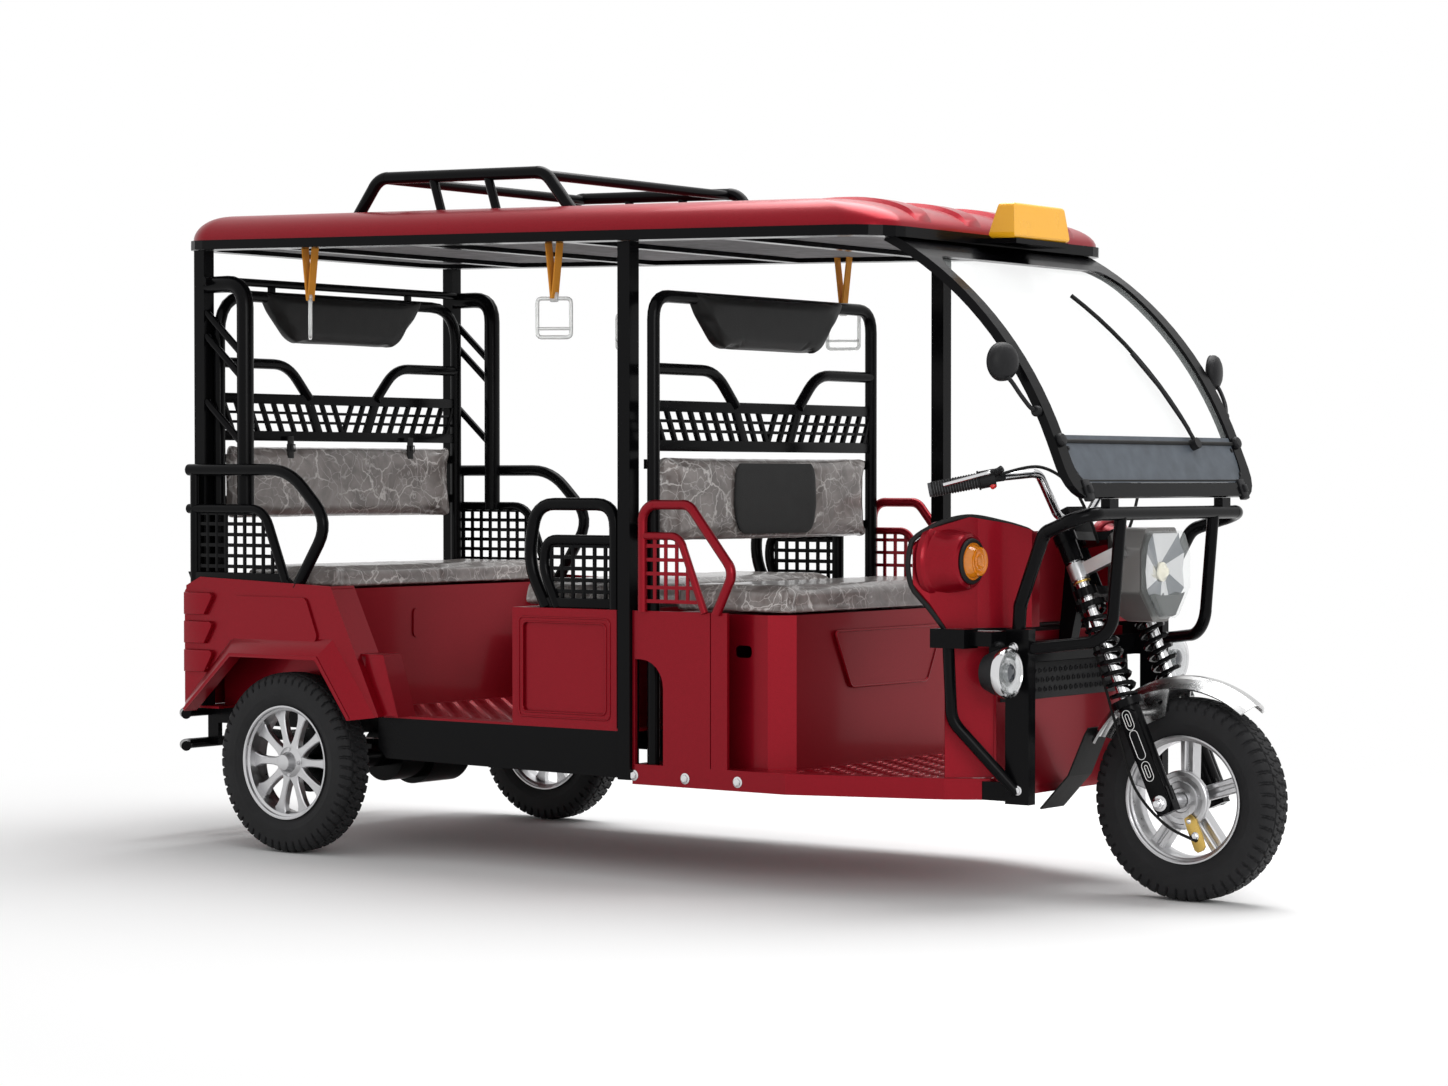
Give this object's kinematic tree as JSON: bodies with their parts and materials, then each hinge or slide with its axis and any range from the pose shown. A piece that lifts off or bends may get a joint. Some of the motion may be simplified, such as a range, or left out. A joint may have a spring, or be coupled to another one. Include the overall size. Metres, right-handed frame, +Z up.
{
  "type": "electric passenger tricycle",
  "caption": "Open-sided electric passenger tricycle with a roofed cabin, bench seats facing each other, a driver's seat and a handlebar-steered front wheel.",
  "frame": {"origin": "middle of the overall box, on the ground", "axes": "+X to the front along the vehicle, +Y to its left, +Z up"},
  "size_m": [3.2274, 1.2, 1.8091],
  "materials": {
    "red_paint": "deep metallic red gloss paint",
    "black_paint": "gloss black powder coat",
    "seat_vinyl": "grey-brown marbled vinyl",
    "black_vinyl": "black vinyl",
    "grey_liner": "matte grey sheet",
    "yellow_sign": "yellow moulded plastic",
    "screen_glass": "clear curved screen",
    "red_lens": "red lens",
    "amber_lens": "amber lens",
    "clear_lens": "clear lens",
    "bright_chrome": "bright chrome plate",
    "polished_alloy": "polished cast alloy",
    "black_plastic": "black moulded plastic",
    "grey_plastic": "silver-grey moulded plastic",
    "orange_webbing": "orange webbing",
    "pale_plastic": "translucent pale plastic",
    "black_rubber": "black moulded rubber",
    "tyre_rubber": "black road tyre"
  },
  "bodies": {
    "chassis": {"chassis_frame": "black_paint", "passenger_floor": "red_paint", "driver_floor": "red_paint", "side_sills": "black_paint", "rear_quarter_panels": "red_paint", "wheel_well_covers": "red_paint", "rear_seat_box": "red_paint", "mid_seat_box": "red_paint", "driver_seat_box": "red_paint", "front_side_panels": "red_paint", "tail_panel": "red_paint", "tail_lamps": "red_lens", "seat_cushions": "seat_vinyl", "backrest_cushions": "seat_vinyl", "back_pads": "black_vinyl", "rear_backrest_frame": "black_paint", "front_backrest_frame": "black_paint", "rear_guards": "black_paint", "mid_guards": "black_paint", "pillars": "black_paint", "roof_frame": "black_paint", "roof_liner": "grey_liner", "roof_panel": "red_paint", "roof_rack": "black_paint", "roof_sign": "yellow_sign", "windscreen_frame": "black_paint", "windscreen_glass": "screen_glass", "windscreen_panel": "grey_liner", "wiper": "black_plastic", "mirrors": "black_plastic", "front_shell": "red_paint", "bull_bar": "black_paint", "turn_signals": "amber_lens", "fog_lamps": "bright_chrome", "hand_straps": "orange_webbing", "strap_rings": "pale_plastic", "battery_pack": "black_plastic", "rear_axle": "black_paint", "leaf_springs": "black_paint", "rear_bumper": "black_paint"},
    "fork": {"fork_legs": "black_paint", "fork_yokes": "polished_alloy", "fork_springs": "black_paint", "handlebar": "black_paint", "grips": "black_rubber", "headlamp": "grey_plastic", "headlamp_lens": "clear_lens", "front_fender": "bright_chrome", "mud_flap": "black_rubber", "front_brake": "polished_alloy"},
    "front_wheel": {"front_tyre": "tyre_rubber", "front_rim": "polished_alloy"},
    "rear_wheel_right": {"right_tyre": "tyre_rubber", "right_rim": "polished_alloy"},
    "rear_wheel_left": {"left_tyre": "tyre_rubber", "left_rim": "polished_alloy"}
  },
  "joints": [
    {"name": "steering", "type": "hinge", "parent": "chassis", "child": "fork", "pos_m": [1.33239, 0, 0.2217], "axis": [-0.4067, 0, 0.9135], "range_deg": [-40, 40]},
    {"name": "front_wheel_spin", "type": "hinge", "parent": "fork", "child": "front_wheel", "pos_m": [1.3735, 0, 0.24], "axis": [0, 1, 0], "continuous": true},
    {"name": "right_wheel_spin", "type": "hinge", "parent": "chassis", "child": "rear_wheel_right", "pos_m": [-1.0385, -0.535, 0.24], "axis": [0, 1, 0], "continuous": true},
    {"name": "left_wheel_spin", "type": "hinge", "parent": "chassis", "child": "rear_wheel_left", "pos_m": [-1.0385, 0.535, 0.24], "axis": [0, 1, 0], "continuous": true}
  ]
}
